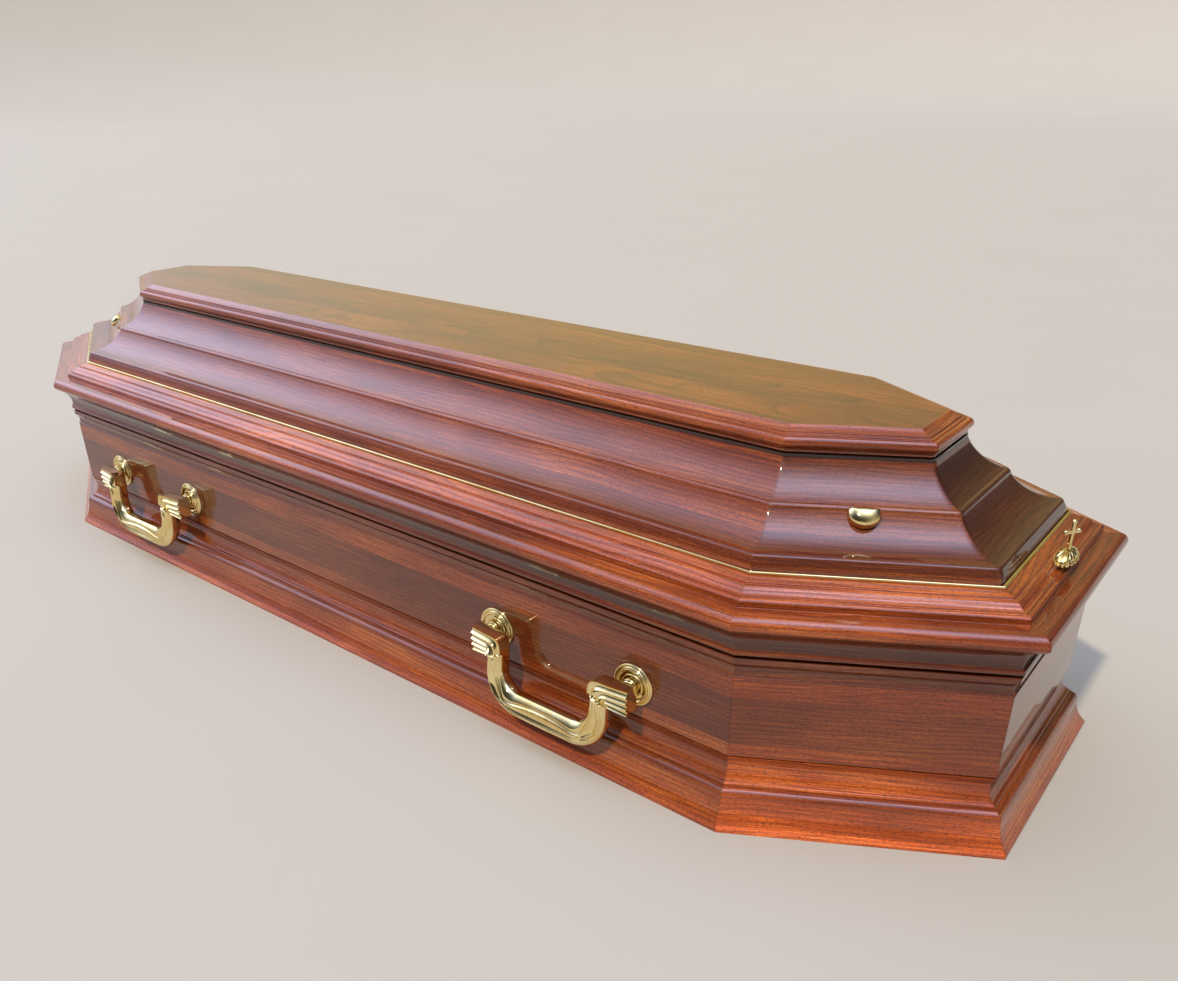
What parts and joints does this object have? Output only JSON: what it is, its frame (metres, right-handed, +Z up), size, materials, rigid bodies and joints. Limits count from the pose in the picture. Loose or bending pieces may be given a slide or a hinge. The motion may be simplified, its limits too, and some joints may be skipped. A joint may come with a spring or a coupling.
{
  "type": "wooden coffin",
  "caption": "Wooden coffin with canted corners, a stepped base moulding, coved lid on a moulded rim, flat top plate, fluted bail handles and brass-coloured trim.",
  "frame": {"origin": "middle of the box's outline, on the surface it stands on", "axes": "+X towards the head end, +Y towards the coffin's right side, +Z up"},
  "size_m": [2.05, 0.6968, 0.4397],
  "materials": {
    "stained_wood": "deep reddish brown stain under high gloss lacquer, fine open straight grain",
    "plain_board": "plain sealed board",
    "polished_brass": "polished, brass-plated"
  },
  "bodies": {
    "root": {"bottom_board": "plain_board", "base_moulding_foot_left": "stained_wood", "base_moulding_left": "stained_wood", "base_moulding_head_left": "stained_wood", "base_moulding_head": "stained_wood", "base_moulding_head_right": "stained_wood", "base_moulding_right": "stained_wood", "base_moulding_foot_right": "stained_wood", "base_moulding_foot": "stained_wood", "wall_foot_left": "stained_wood", "wall_left": "stained_wood", "wall_head_left": "stained_wood", "wall_head": "stained_wood", "wall_head_right": "stained_wood", "wall_right": "stained_wood", "wall_foot_right": "stained_wood", "wall_foot": "stained_wood", "cornice_foot_left": "stained_wood", "cornice_left": "stained_wood", "cornice_head_left": "stained_wood", "cornice_head": "stained_wood", "cornice_head_right": "stained_wood", "cornice_right": "stained_wood", "cornice_foot_right": "stained_wood", "cornice_foot": "stained_wood", "lid_rim_foot_left": "stained_wood", "lid_rim_left": "stained_wood", "lid_rim_head_left": "stained_wood", "lid_rim_head": "stained_wood", "lid_rim_head_right": "stained_wood", "lid_rim_right": "stained_wood", "lid_rim_foot_right": "stained_wood", "lid_rim_foot": "stained_wood", "lid_slope_foot_left": "stained_wood", "lid_slope_left": "stained_wood", "lid_slope_head_left": "stained_wood", "lid_slope_head": "stained_wood", "lid_slope_head_right": "stained_wood", "lid_slope_right": "stained_wood", "lid_slope_foot_right": "stained_wood", "lid_slope_foot": "stained_wood", "top_plate": "stained_wood", "lid_metal_strip": "polished_brass", "handle_left_foot": "polished_brass", "rosette_left_foot_1": "polished_brass", "rosette_left_foot_2": "polished_brass", "handle_left_head": "polished_brass", "rosette_left_head_1": "polished_brass", "rosette_left_head_2": "polished_brass", "handle_right_foot": "polished_brass", "rosette_right_foot_1": "polished_brass", "rosette_right_foot_2": "polished_brass", "handle_right_head": "polished_brass", "rosette_right_head_1": "polished_brass", "rosette_right_head_2": "polished_brass", "shield_boss_foot_left": "polished_brass", "shield_boss_head_left": "polished_brass", "shield_boss_head_right": "polished_brass", "shield_boss_foot_right": "polished_brass", "lid_screw_cross": "polished_brass"}
  },
  "joints": []
}
